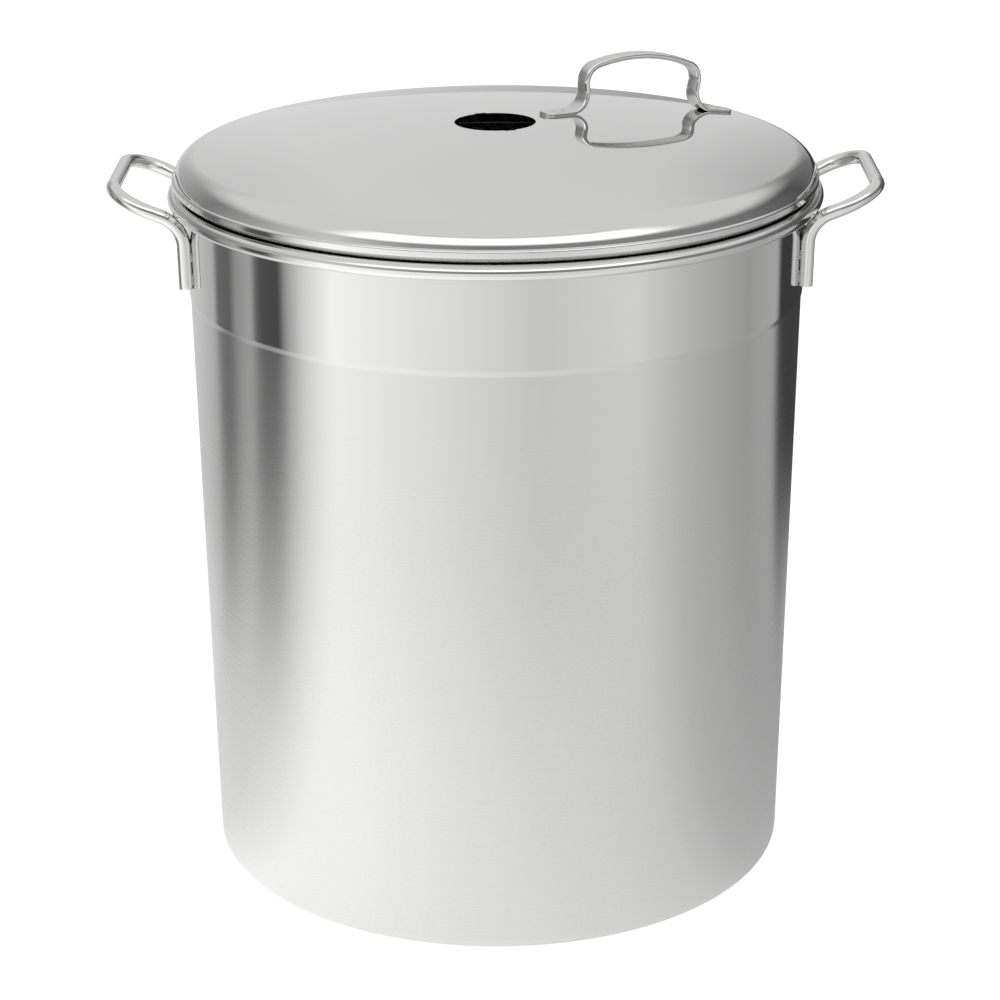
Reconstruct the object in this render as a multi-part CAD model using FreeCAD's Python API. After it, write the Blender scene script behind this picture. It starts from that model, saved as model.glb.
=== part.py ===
"""Brew kettle: a one-piece drawn stainless pot with two welded tube handles, and a
loose domed lid with a strap handle and a port in its middle.

Millimetres, +Z up, origin at the middle of the base, on the floor. The side handles
stand at +X and -X, and -Y is the front. The lid is drawn seated on the rim.
"""
import FreeCAD, Part
import math
import os

V = FreeCAD.Vector
UP = V(0, 0, 1)
ORIGIN = V(0, 0, 0)

# ---------------------------------------------------------------- kettle body
SHEET = 1.0                  # wall of the pot
MOUTH_RADIUS = 225.0         # inside, just under the rim
RIM_HEIGHT = 508.5           # middle of the rolled rim above the floor
WALL_DRAFT = 1.0             # degrees, the wall leans in towards the base
BASE_CORNER_RADIUS = 9.0     # outside, between wall and base
STEP_DROP = 72.0             # middle of the shoulder in the wall, below the rim
STEP_DEPTH = 0.9             # the upper band stands out this far beyond the lower wall
STEP_BEND = 6.0              # middle-of-sheet radius of the shoulder's two bends
STEP_ANGLE = 12.0            # degrees, slope of the shoulder against the wall
ROLL_RADIUS = 5.5            # outside of the rolled rim's section
ROLL_REACH = 7.5             # from the mouth out to the middle of the roll
FLARE_RADIUS = 12.0          # middle-of-sheet radius where the wall opens into the roll
ROLL_TURN = 285.0            # degrees of curl after the flare

# ------------------------------------------------------------------------ lid
LID_SHEET = 1.0
LID_SETBACK = 3.5            # outside of the rim to the outside of the hem
HEM_CORNER_RADIUS = 1.8      # outside, above and below the hem's upright band
HEM_BAND = 2.6               # upright part of the hem, between its two corners
HEM_PROUD = 1.1              # hem beyond the lid's shoulder
CREASE_RADIUS = 0.5          # outside radius of the crease above the hem
SHOULDER_RADIUS = 19.5       # outside of the shoulder
DOME_RADIUS = 1250.0         # sphere of the lid's top
DOME_RISE = 37.0             # top of the sphere above the middle of the hem
SEAT_ANGLE = 45.0            # degrees, slope of the cone that rests on the rim
SEAT_CLEARANCE = 0.3         # between that cone and the rim
SPIGOT_CLEARANCE = 1.2       # between the lid's spigot and the mouth
SPIGOT_DEPTH = 8.0           # straight part of the spigot
SPIGOT_BEND = 4.0            # middle-of-sheet radius from cone to spigot
PORT_RADIUS = 29.5
PORT_NOTCH_WIDTH = 8.0
PORT_NOTCH_DEPTH = 1.6
PORT_NOTCH_ANGLE = 111.0     # degrees from +X, a second notch stands opposite

# --------------------------------------------------------------- side handles
TUBE_RADIUS = 5.05
TUBE_WALL = 1.2
GRIP_REACH = 35.4            # outside of the rim to the middle of the grip bar
GRIP_HALF_WIDTH = 68.0       # middle of the handle to the middle of an arm, at the grip
GRIP_LIFT = 11.5             # grip bar above the middle of the rim
GRIP_BEND = 27.5             # middle radius of the loop's corners
LEG_ANGLE = 15.0             # degrees round the pot from the X axis to each leg
ELBOW_CLEARANCE = 0.6       # rolled rim to tube, where the arm meets the leg below it
ELBOW_BEND = 25.0            # middle radius from arm to leg
LEG_LENGTH = 47.0            # elbow to foot
LEG_SEAT = 0.4               # leg pressed flat against the wall by this much
LEG_WELD_HEIGHTS = (9.0, 25.0)   # above the foot
LEG_WELD_RADIUS = 2.2

# ----------------------------------------------------------------- lid handle
BAR_WIDTH = 12.3             # the bar's section between its feet
BAR_THICKNESS = 4.7
BAR_ROUNDING = 1.7           # radius of the long edges of the bar
FOOT_WIDTH = 17.0            # the ends are pressed flat and wide
FOOT_THICKNESS = 2.4
FOOT_ROUNDING = 0.7
STRAP_ANGLE = 32.0           # degrees from +X, the strap lies along a radius of the lid
STRAP_PLACE = 125.0          # lid's axis to the middle of the strap
STRAP_HEIGHT = 41.0          # middle of the arch above the lid, middle of the thickness
STRAP_HALF_SPAN = 50.5       # middle of the arch to the widest point of a leg
STRAP_ARCH_RADIUS = 134.0
STRAP_CORNER_RADIUS = 13.0   # arch to leg
STRAP_HEEL_RADIUS = 14.0     # leg to foot
STRAP_NECK_ANGLE = 8.0       # degrees, the legs lean in towards the lid
FOOT_LENGTH = 21.5           # straight part of a foot
FOOT_CORNER_RADIUS = 5.5     # corners of a foot seen from above
FOOT_BEDDING = 0.05          # feet are bedded into the dome's curve by this much
STRAP_WELD_SPACING = 8.3
STRAP_WELD_INSET = 10.0      # from the tip of a foot to its outer weld
STRAP_WELD_RADIUS = 1.6
WELD_PROUD = 0.2             # weld metal standing inside the pot and under the lid
WELD_DIMPLE = 0.4            # depth of the weld marks on the strap


def sine(angle):
    return math.sin(math.radians(angle))


def cosine(angle):
    return math.cos(math.radians(angle))


def turn_about_axis(shape, angle):
    """Copy of a shape turned about the Z axis by an angle in degrees."""
    turned = shape.copy()
    turned.rotate(ORIGIN, UP, angle)
    return turned


# ------------------------------------------------------------ bent sheet metal
def bent_sheet(start, heading, moves, thickness):
    """Section of a bent sheet in the XZ plane, as a face.

    The middle line starts at (x, z) start, going along heading in degrees from +X
    towards +Z. A move is ("run", length) or ("bend", middle radius, degrees), where
    positive degrees turn towards +Z from +X.
    """
    half = thickness / 2.0
    left_edges = []
    right_edges = []
    x, z = start

    def beside(point_x, point_z, direction, offset):
        """Point at an offset to the left of the middle line."""
        return V(point_x - offset * sine(direction), 0, point_z + offset * cosine(direction))

    first_left = beside(x, z, heading, half)
    first_right = beside(x, z, heading, -half)
    for move in moves:
        if move[0] == "run":
            next_x = x + move[1] * cosine(heading)
            next_z = z + move[1] * sine(heading)
            for edges, offset in ((left_edges, half), (right_edges, -half)):
                a = beside(x, z, heading, offset)
                b = beside(next_x, next_z, heading, offset)
                edges.append(Part.LineSegment(a, b).toShape())
            x, z = next_x, next_z
            continue
        radius, angle = move[1], move[2]
        side = math.copysign(radius, angle)
        centre = beside(x, z, heading, side)
        ends = (heading, heading + angle / 2.0, heading + angle)
        for edges, offset in ((left_edges, half), (right_edges, -half)):
            a, b, c = [beside(centre.x, centre.z, h, offset - side) for h in ends]
            edges.append(Part.Arc(a, b, c).toShape())
        heading += angle
        last = beside(centre.x, centre.z, heading, -side)
        x, z = last.x, last.z
    far_cap = Part.LineSegment(beside(x, z, heading, half), beside(x, z, heading, -half))
    near_cap = Part.LineSegment(first_right, first_left)
    edges = left_edges + [far_cap.toShape()] + right_edges[::-1] + [near_cap.toShape()]
    return Part.Face(Part.Wire(Part.__sortEdges__(edges)))


# ---------------------------------------------------------------- kettle body
WALL_HEADING = 90.0 - WALL_DRAFT
ROLL_MIDDLE = ROLL_RADIUS - SHEET / 2.0
ROLL_CENTRE_RADIUS = MOUTH_RADIUS + ROLL_REACH
RIM_RADIUS = ROLL_CENTRE_RADIUS + ROLL_RADIUS
FLARE_START_RADIUS = MOUTH_RADIUS + SHEET / 2.0
FLARE_HEADING = math.degrees(math.asin(
    (FLARE_START_RADIUS + FLARE_RADIUS * sine(WALL_HEADING) - ROLL_CENTRE_RADIUS)
    / (FLARE_RADIUS - ROLL_MIDDLE)))
FLARE_START_HEIGHT = (RIM_HEIGHT + FLARE_RADIUS * cosine(WALL_HEADING)
                      - (FLARE_RADIUS - ROLL_MIDDLE) * cosine(FLARE_HEADING))


def wall_radius(height, offset=0.0):
    """Radius of the upper band at a height, from the middle of its sheet."""
    lean = math.tan(math.radians(WALL_DRAFT))
    return FLARE_START_RADIUS - (FLARE_START_HEIGHT - height) * lean + offset


def kettle_body_shell():
    """Base, base corner, lower wall, shoulder, upper band, flare and rolled rim."""
    corner = BASE_CORNER_RADIUS - SHEET / 2.0
    corner_height = SHEET / 2.0 + corner
    base_run = wall_radius(corner_height, -STEP_DEPTH) - corner / cosine(WALL_DRAFT)
    slope = (STEP_DEPTH - 2.0 * STEP_BEND * (1.0 - cosine(STEP_ANGLE))) / sine(STEP_ANGLE)
    half_step = STEP_BEND * sine(STEP_ANGLE) + slope * cosine(STEP_ANGLE) / 2.0
    step_height = RIM_HEIGHT - STEP_DROP
    corner_top = corner_height - corner * cosine(WALL_HEADING)
    lower_run = (step_height - half_step - corner_top) / cosine(WALL_DRAFT)
    upper_run = (FLARE_START_HEIGHT - step_height - half_step) / cosine(WALL_DRAFT)
    section = bent_sheet(
        (0.0, SHEET / 2.0), 0.0,
        [("run", base_run),
         ("bend", corner, WALL_HEADING),
         ("run", lower_run),
         ("bend", STEP_BEND, -STEP_ANGLE),
         ("run", slope),
         ("bend", STEP_BEND, STEP_ANGLE),
         ("run", upper_run),
         ("bend", FLARE_RADIUS, FLARE_HEADING - WALL_HEADING),
         ("bend", ROLL_MIDDLE, -ROLL_TURN)],
        SHEET)
    return section.revolve(ORIGIN, UP, 360)


# ------------------------------------------------------------------------ lid
LID_RADIUS = RIM_RADIUS - LID_SETBACK
HEM_MIDDLE = HEM_CORNER_RADIUS - LID_SHEET / 2.0
HEM_CENTRE_RADIUS = LID_RADIUS - HEM_CORNER_RADIUS
HEM_END_RADIUS = HEM_CENTRE_RADIUS + HEM_MIDDLE * sine(SEAT_ANGLE)
SEAT_OFFSET = ROLL_RADIUS + SEAT_CLEARANCE + LID_SHEET / 2.0
HEM_END_HEIGHT = RIM_HEIGHT + (
    (SEAT_OFFSET + sine(SEAT_ANGLE) * (HEM_END_RADIUS - ROLL_CENTRE_RADIUS))
    / cosine(SEAT_ANGLE))
HEM_HIGH = HEM_END_HEIGHT + HEM_MIDDLE * cosine(SEAT_ANGLE) + HEM_BAND
DOME_CENTRE_HEIGHT = HEM_HIGH - HEM_BAND / 2.0 + DOME_RISE - DOME_RADIUS


def lid_shell():
    """Dome, shoulder, crease, hem, seat cone and spigot, in one pressed sheet."""
    half = LID_SHEET / 2.0
    dome = DOME_RADIUS - half
    shoulder = SHOULDER_RADIUS - half
    crease = CREASE_RADIUS + half
    shoulder_radius = LID_RADIUS - HEM_PROUD - SHOULDER_RADIUS
    dome_edge = math.degrees(math.asin(shoulder_radius / (DOME_RADIUS - SHOULDER_RADIUS)))
    shoulder_height = (DOME_CENTRE_HEIGHT
                       + (DOME_RADIUS - SHOULDER_RADIUS) * cosine(dome_edge))
    # The crease's centre is known from its distances to the shoulder's and the hem's.
    to_shoulder = V(shoulder_radius - HEM_CENTRE_RADIUS, 0, shoulder_height - HEM_HIGH)
    near, far, apart = HEM_MIDDLE + crease, shoulder + crease, to_shoulder.Length
    opening = math.degrees(math.acos((apart ** 2 + near ** 2 - far ** 2) / (2 * apart * near)))
    hem_start = math.degrees(math.atan2(to_shoulder.z, to_shoulder.x)) % 360.0 - opening
    crease_radius = HEM_CENTRE_RADIUS + near * cosine(hem_start)
    crease_height = HEM_HIGH + near * sine(hem_start)
    shoulder_end = math.degrees(math.atan2(crease_height - shoulder_height,
                                           crease_radius - shoulder_radius))
    port_edge = math.degrees(math.asin(PORT_RADIUS / dome))
    spigot_radius = MOUTH_RADIUS - SPIGOT_CLEARANCE - half
    cone_end = spigot_radius + SPIGOT_BEND * (1.0 - sine(SEAT_ANGLE))
    section = bent_sheet(
        (PORT_RADIUS, DOME_CENTRE_HEIGHT + dome * cosine(port_edge)), -port_edge,
        [("bend", dome, port_edge - dome_edge),
         ("bend", shoulder, dome_edge - (90.0 - shoulder_end)),
         ("bend", crease, hem_start - shoulder_end),
         ("bend", HEM_MIDDLE, -hem_start),
         ("run", HEM_BAND),
         ("bend", HEM_MIDDLE, SEAT_ANGLE - 90.0),
         ("run", (HEM_END_RADIUS - cone_end) / cosine(SEAT_ANGLE)),
         ("bend", SPIGOT_BEND, 90.0 - SEAT_ANGLE),
         ("run", SPIGOT_DEPTH)],
        LID_SHEET)
    return section.revolve(ORIGIN, UP, 360)


def port_cutter():
    """Straight port through the dome, with two notches in its edge."""
    bottom = HEM_HIGH
    depth = 2.0 * DOME_RISE
    cutter = Part.makeCylinder(PORT_RADIUS, depth, V(0, 0, bottom))
    reach = PORT_RADIUS + PORT_NOTCH_DEPTH
    bar = Part.makeBox(2.0 * reach, PORT_NOTCH_WIDTH, depth,
                       V(-reach, -PORT_NOTCH_WIDTH / 2.0, bottom))
    return cutter.fuse(turn_about_axis(bar, PORT_NOTCH_ANGLE))


# --------------------------------------------------------------- side handles
ELBOW_HEIGHT = RIM_HEIGHT - ROLL_RADIUS - TUBE_RADIUS - ELBOW_CLEARANCE


def leg_place(height, side, end):
    """Middle of a leg at a height; side is +1 or -1 in X, end is +1 or -1 in Y."""
    radius = wall_radius(height, SHEET / 2.0) + TUBE_RADIUS - LEG_SEAT
    return V(side * radius * cosine(LEG_ANGLE), end * radius * sine(LEG_ANGLE), height)


def rounded_path(points, radii):
    """Straight runs joined by tangent arcs at the inner points."""
    edges = []
    here = points[0]
    for before, corner, after, radius in zip(points, points[1:], points[2:], radii):
        back = (before - corner).normalize()
        on = (after - corner).normalize()
        half_angle = back.getAngle(on) / 2.0
        setback = radius / math.tan(half_angle)
        middle = (back + on).normalize()
        to_centre = middle * (radius / math.sin(half_angle))
        first = corner + back * setback
        second = corner + on * setback
        crown = corner + to_centre - middle * radius
        edges.append(Part.LineSegment(here, first).toShape())
        edges.append(Part.Arc(first, crown, second).toShape())
        here = second
    edges.append(Part.LineSegment(here, points[-1]).toShape())
    return Part.Wire(edges)


def swept_round(path, start, direction, radius):
    circle = Part.Wire(Part.makeCircle(radius, start, direction))
    return path.makePipeShell([circle], True, False)


def side_handle(side):
    """One bent tube: leg, arm, grip bar, arm, leg. Its legs lie flat on the wall."""
    foot = ELBOW_HEIGHT - LEG_LENGTH
    grip_x = side * (RIM_RADIUS + GRIP_REACH)
    grip_z = RIM_HEIGHT + GRIP_LIFT
    points = [leg_place(foot, side, -1),
              leg_place(ELBOW_HEIGHT, side, -1),
              V(grip_x, -GRIP_HALF_WIDTH, grip_z),
              V(grip_x, GRIP_HALF_WIDTH, grip_z),
              leg_place(ELBOW_HEIGHT, side, 1),
              leg_place(foot, side, 1)]
    path = rounded_path(points, [ELBOW_BEND, GRIP_BEND, GRIP_BEND, ELBOW_BEND])
    along = (points[1] - points[0]).normalize()
    outer = swept_round(path, points[0], along, TUBE_RADIUS)
    inner = swept_round(path, points[0], along, TUBE_RADIUS - TUBE_WALL)
    return outer.cut(inner).cut(wall_block())


def wall_block():
    """The upper band's outside as a solid cone, to trim what lies against it."""
    low = RIM_HEIGHT - STEP_DROP - STEP_BEND
    high = FLARE_START_HEIGHT
    return Part.makeCone(wall_radius(low, SHEET / 2.0), wall_radius(high, SHEET / 2.0),
                         high - low, V(0, 0, low))


def leg_welds(side):
    """Weld nuggets that join the pot's wall to the wall of the tube, two to a leg."""
    foot = ELBOW_HEIGHT - LEG_LENGTH
    nuggets = []
    for end in (-1, 1):
        for rise in LEG_WELD_HEIGHTS:
            height = foot + rise
            inside = wall_radius(height, -SHEET / 2.0) - WELD_PROUD
            length = SHEET + WELD_PROUD + TUBE_WALL - LEG_SEAT
            outward = V(side * cosine(LEG_ANGLE), end * sine(LEG_ANGLE), 0)
            start = outward * inside + V(0, 0, height)
            nuggets.append(Part.makeCylinder(LEG_WELD_RADIUS, length, start, outward))
    return nuggets


# ----------------------------------------------------------------- lid handle
def strap_stations():
    """Sections of half the bar, from the top of the arch to the tip of one foot.

    Each is (x, z, heading, share), where share is 0 in the round bar and 1 in the flat
    foot. Drawn over the middle of the strap: (0, 0) is on the lid, and the foot lies
    towards -X. The leg's length is what brings the foot down on to the dome.
    """
    half = FOOT_THICKNESS / 2.0
    arch_turn = math.degrees(math.asin((STRAP_HALF_SPAN - STRAP_CORNER_RADIUS)
                                       / (STRAP_ARCH_RADIUS - STRAP_CORNER_RADIUS)))
    foot_middle = STRAP_HALF_SPAN + STRAP_HEEL_RADIUS + FOOT_LENGTH / 2.0
    foot_slope = math.degrees(math.asin(foot_middle / DOME_RADIUS))
    leg_heading = 270.0 + STRAP_NECK_ANGLE
    foot_heading = 180.0 + foot_slope
    # Where a leg of no length would leave the foot.
    reach = STRAP_ARCH_RADIUS - STRAP_CORNER_RADIUS
    x = -reach * sine(arch_turn) + STRAP_CORNER_RADIUS * sine(leg_heading)
    z = (STRAP_HEIGHT - STRAP_ARCH_RADIUS + reach * cosine(arch_turn)
         - STRAP_CORNER_RADIUS * cosine(leg_heading))
    x += STRAP_HEEL_RADIUS * (sine(leg_heading) - sine(foot_heading))
    z += STRAP_HEEL_RADIUS * (cosine(foot_heading) - cosine(leg_heading))
    above_dome = -x * sine(foot_slope) + (z + DOME_RADIUS) * cosine(foot_slope)
    excess = above_dome - (DOME_RADIUS + half - FOOT_BEDDING)
    leg_run = excess / cosine(foot_slope - STRAP_NECK_ANGLE)
    corner_turn = 90.0 - arch_turn + STRAP_NECK_ANGLE
    # (length, turn in degrees, sections, share where it ends)
    parts = [(math.radians(arch_turn) * STRAP_ARCH_RADIUS, arch_turn, 6, 0.0),
             (math.radians(corner_turn) * STRAP_CORNER_RADIUS, corner_turn, 8, 0.0),
             (leg_run, 0.0, 2, 0.1),
             (math.radians(leg_heading - foot_heading) * STRAP_HEEL_RADIUS,
              foot_heading - leg_heading, 8, 0.95),
             (3.0, 0.0, 2, 1.0),
             (FOOT_LENGTH - 3.0, 0.0, 2, 1.0)]
    x, z, heading, share = 0.0, STRAP_HEIGHT, 180.0, 0.0
    stations = [(x, z, heading, share)]
    for length, turn, count, last_share in parts:
        step = length / count
        if turn:
            step *= sine(turn / count / 2.0) / math.radians(turn / count / 2.0)
        rise = (last_share - share) / count
        for _ in range(count):
            middle = heading + turn / count / 2.0
            x += step * cosine(middle)
            z += step * sine(middle)
            heading += turn / count
            share += rise
            stations.append((x, z, heading, share))
    return stations


def rounded_section(x, z, heading, share):
    """Rounded rectangle across the bar at one station."""
    wide = (BAR_WIDTH + (FOOT_WIDTH - BAR_WIDTH) * share) / 2.0
    thick = (BAR_THICKNESS + (FOOT_THICKNESS - BAR_THICKNESS) * share) / 2.0
    rounding = BAR_ROUNDING + (FOOT_ROUNDING - BAR_ROUNDING) * share
    cut = rounding * (1.0 - math.sqrt(0.5))

    def at(across, out):
        return V(x + out * sine(heading), across, z - out * cosine(heading))

    edges = []
    for side_a, side_b in ((1, 1), (-1, 1), (-1, -1), (1, -1)):
        a = at(side_a * wide, side_b * (thick - rounding))
        b = at(side_a * (wide - cut), side_b * (thick - cut))
        c = at(side_a * (wide - rounding), side_b * thick)
        ends = (a, b, c) if side_a == side_b else (c, b, a)
        edges.append(Part.Arc(*ends).toShape())
    joints = [edge.Vertexes for edge in edges]
    loop = []
    for index, edge in enumerate(edges):
        following = joints[(index + 1) % 4][0].Point
        loop.append(edge)
        loop.append(Part.LineSegment(joints[index][-1].Point, following).toShape())
    return Part.Wire(loop)


def on_the_lid(shape):
    """Move a shape from the strap's own place to its place on the dome."""
    lean = math.degrees(math.asin(STRAP_PLACE / DOME_RADIUS))
    placed = shape.copy()
    placed.translate(V(0, 0, DOME_RADIUS))
    placed.rotate(ORIGIN, V(0, 1, 0), lean)
    placed.translate(V(0, 0, DOME_CENTRE_HEIGHT))
    return turn_about_axis(placed, STRAP_ANGLE)


def strap():
    """The whole bar in its own place, straight from one section to the next.

    Its feet are rounded when seen from above.
    """
    stations = strap_stations()
    mirrored = [(-x, z, 360.0 - heading, share) for x, z, heading, share in stations[:0:-1]]
    wires = [rounded_section(*station) for station in mirrored + stations]
    bar = Part.makeLoft(wires, True, True)
    tip = -stations[-1][0]
    outline = Part.makeBox(2.0 * tip, FOOT_WIDTH, 2.0 * STRAP_HEIGHT,
                           V(-tip, -FOOT_WIDTH / 2.0, -STRAP_HEIGHT / 2.0))
    corners = [edge for edge in outline.Edges if abs(edge.tangentAt(0).z) > 0.9]
    return bar.common(outline.makeFillet(FOOT_CORNER_RADIUS, corners)), tip


def lid_handle():
    bar, tip = strap()
    dome = Part.makeSphere(DOME_RADIUS, V(0, 0, DOME_CENTRE_HEIGHT))
    return on_the_lid(bar).cut(dome)


def strap_welds():
    """Spot-weld nuggets through the strap's feet and the lid, two to a foot."""
    tip = strap()[1]
    depth = FOOT_THICKNESS + LID_SHEET - WELD_DIMPLE + WELD_PROUD
    nuggets = []
    for end in (-1, 1):
        for inset in (STRAP_WELD_INSET, STRAP_WELD_INSET + STRAP_WELD_SPACING):
            place = end * (tip - inset)
            lean = math.degrees(math.asin(place / DOME_RADIUS))
            below = DOME_RADIUS - LID_SHEET - WELD_PROUD
            nugget = Part.makeCylinder(STRAP_WELD_RADIUS, depth, V(0, 0, below))
            nugget.rotate(ORIGIN, V(0, 1, 0), lean)
            nugget.translate(V(0, 0, -DOME_RADIUS))
            nuggets.append(on_the_lid(nugget))
    return nuggets


def strap_weld_wells():
    """The same nuggets run on upwards, to sink the weld marks into the strap."""
    tall = []
    for nugget in strap_welds():
        well = nugget.copy()
        well.translate(UP * WELD_DIMPLE * 2.0)
        tall.append(nugget.fuse(well))
    return tall


# -------------------------------------------------------------------- writing
def write(name, shape):
    if not shape.Solids or not shape.isValid():
        raise ValueError(name + " is not a valid solid shape")
    shape.exportStep(os.path.join("parts", name + ".step"))


def main():
    os.makedirs("parts", exist_ok=True)
    body = kettle_body_shell()
    for side, name in ((-1, "side_handle_left"), (1, "side_handle_right")):
        welds = leg_welds(side)
        body = body.cut(welds)
        write(name, side_handle(side).cut(welds))
        write(name + "_welds", Part.makeCompound(welds))
    write("kettle_body", body)
    spots = strap_welds()
    write("lid", lid_shell().cut([port_cutter()] + spots))
    write("lid_handle", lid_handle().cut(strap_weld_wells()))
    write("lid_handle_welds", Part.makeCompound(spots))


main()
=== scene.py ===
import math
import random

import bpy
from mathutils import Matrix, Vector


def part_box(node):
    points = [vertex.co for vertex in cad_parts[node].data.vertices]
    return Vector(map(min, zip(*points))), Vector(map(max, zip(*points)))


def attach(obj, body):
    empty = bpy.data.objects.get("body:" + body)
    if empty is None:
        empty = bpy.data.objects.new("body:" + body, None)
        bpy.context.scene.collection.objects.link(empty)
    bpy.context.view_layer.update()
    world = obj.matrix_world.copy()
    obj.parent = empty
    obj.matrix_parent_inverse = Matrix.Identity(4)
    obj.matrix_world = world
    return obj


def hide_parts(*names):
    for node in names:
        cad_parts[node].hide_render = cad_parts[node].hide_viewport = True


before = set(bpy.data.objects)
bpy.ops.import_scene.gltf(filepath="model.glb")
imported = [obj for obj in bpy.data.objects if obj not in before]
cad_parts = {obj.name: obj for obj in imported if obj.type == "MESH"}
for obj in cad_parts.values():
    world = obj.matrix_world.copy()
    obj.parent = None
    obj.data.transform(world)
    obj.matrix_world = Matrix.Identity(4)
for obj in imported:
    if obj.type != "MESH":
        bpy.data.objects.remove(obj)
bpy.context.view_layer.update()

MM = 0.001
POT_LOW, POT_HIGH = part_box("kettle_body")
LID_LOW, LID_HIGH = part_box("lid")
POT_TOP = POT_HIGH.z / MM                     # top of the rolled rim
RIM_RADIUS = (POT_HIGH.x - POT_LOW.x) / 2.0 / MM

# ------------------------------------------------------- sizes, in millimetres
SHEET = 1.0
ROLL_RADIUS = 5.5
ROLL_REACH = 7.5
FLARE_RADIUS = 12.0
ROLL_TURN = 285.0
WALL_DRAFT = 1.0
BASE_CORNER_RADIUS = 9.0
STEP_DROP = 72.0
STEP_DEPTH = 0.9
STEP_BEND = 6.0
STEP_ANGLE = 12.0
RIM_HEIGHT = POT_TOP - ROLL_RADIUS
ROLL_CENTRE_RADIUS = RIM_RADIUS - ROLL_RADIUS
MOUTH_RADIUS = ROLL_CENTRE_RADIUS - ROLL_REACH

LID_RADIUS = (LID_HIGH.x - LID_LOW.x) / 2.0 / MM
HEM_CORNER_RADIUS = 1.8
HEM_BAND = 2.6
HEM_PROUD = 1.1
CREASE_RADIUS = 0.5
SHOULDER_RADIUS = 19.5
DOME_RADIUS = 1250.0
DOME_RISE = 37.0
SEAT_ANGLE = 45.0
SEAT_CLEARANCE = 0.3
SPIGOT_CLEARANCE = 1.2
SPIGOT_DEPTH = 8.0
SPIGOT_BEND = 4.0
PORT_RADIUS = 29.5
PORT_NOTCH_WIDTH = 8.0
PORT_NOTCH_DEPTH = 1.6
PORT_NOTCH_ANGLE = 111.0

TUBE_RADIUS = 5.05
TUBE_WALL = 1.2
TUBE_BEVEL = 0.35
GRIP_REACH = 35.4
GRIP_HALF_WIDTH = 68.0
GRIP_LIFT = 11.5
GRIP_BEND = 27.5
LEG_ANGLE = 15.0
ELBOW_CLEARANCE = 0.6
ELBOW_BEND = 25.0
LEG_LENGTH = 47.0
LEG_SEAT = 0.4
LEG_WELD_HEIGHTS = (9.0, 25.0)

BAR_WIDTH = 12.3
BAR_THICKNESS = 4.6
BAR_ROUNDING = 1.6
BAR_CROWN = 0.35                              # the outer face falls this far to its edges
FOOT_WIDTH = 16.9
FOOT_THICKNESS = 2.4
FOOT_ROUNDING = 0.7
FOOT_CROWN = 0.1
FOOT_FLARE = 3.0                              # last of the flattening, on the foot itself
STRAP_ANGLE = 32.0
STRAP_PLACE = 125.0
STRAP_HEIGHT = 41.0
STRAP_HALF_SPAN = 50.5
STRAP_ARCH_RADIUS = 134.0
STRAP_CORNER_RADIUS = 13.0
STRAP_HEEL_RADIUS = 14.0
STRAP_NECK_ANGLE = 8.0
FOOT_LENGTH = 21.5
FOOT_CORNER_RADIUS = 5.5
FOOT_BEDDING = 0.05
STRAP_WELD_SPACING = 8.3
STRAP_WELD_INSET = 10.0
STRAP_WELD_RADIUS = 1.6
WELD_DIMPLE = 0.4

AROUND = 288                                  # faces round the pot and the lid
TUBE_AROUND = 48                              # faces round a handle's tube
STRAP_STEP = 0.45                             # length of a face along the lid handle


def sine(angle):
    return math.sin(math.radians(angle))


def cosine(angle):
    return math.cos(math.radians(angle))


# ------------------------------------------------------------------ mesh makers
def spaced(length, step, inset):
    """Places from 0 to length, with one close to each end so that shading stays put."""
    count = max(1, math.ceil(length / step))
    places = [length * i / count for i in range(count + 1)]
    if length > 4.0 * inset:
        places = [0.0, inset] + [p for p in places if inset * 1.5 < p < length - inset * 1.5]
        places += [length - inset, length]
    return places


def bent_line(start, heading, moves):
    """Middle line of a bent sheet: (x, z, heading, number of the move) at each point."""
    x, z = start
    line = [(x, z, heading, 0)]
    for number, move in enumerate(moves):
        if move[0] == "run":
            for place in spaced(move[1], 30.0, 0.6)[1:]:
                line.append((x + place * cosine(heading), z + place * sine(heading),
                             heading, number))
            x, z = line[-1][0], line[-1][1]
            continue
        radius, angle = move[1], move[2]
        side = math.copysign(radius, angle)
        centre_x = x - side * sine(heading)
        centre_z = z + side * cosine(heading)
        length = abs(math.radians(angle)) * radius
        step = max(0.12, min(12.0, radius * math.radians(7.0)))
        for place in spaced(length, step, 0.6 if length > 8.0 else 1.0e9)[1:]:
            at = heading + math.copysign(math.degrees(place / radius), angle)
            line.append((centre_x + side * sine(at), centre_z - side * cosine(at),
                         at, number))
        x, z = line[-1][0], line[-1][1]
        heading += angle
    return line


def sheet_loop(line, thickness):
    """Both faces of the sheet: out along its left side, then back along its right."""
    half = thickness / 2.0
    left = [(x - half * sine(h), z + half * cosine(h), n, 0) for x, z, h, n in line]
    right = [(x + half * sine(h), z - half * cosine(h), n, 1) for x, z, h, n in line]
    return left + right[::-1]


def make_mesh(name, points, faces, materials, finish=None, sharp=40.0):
    mesh = bpy.data.meshes.new(name)
    mesh.from_pydata([[c * MM for c in p] for p in points], [], faces)
    for material in materials:
        mesh.materials.append(material)
    if finish:
        mesh.polygons.foreach_set("material_index", finish)
    mesh.polygons.foreach_set("use_smooth", [True] * len(mesh.polygons))
    mesh.set_sharp_from_angle(angle=math.radians(sharp))
    mesh.validate()
    mesh.update()
    piece = bpy.data.objects.new(name, mesh)
    bpy.context.scene.collection.objects.link(piece)
    return piece


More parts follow.
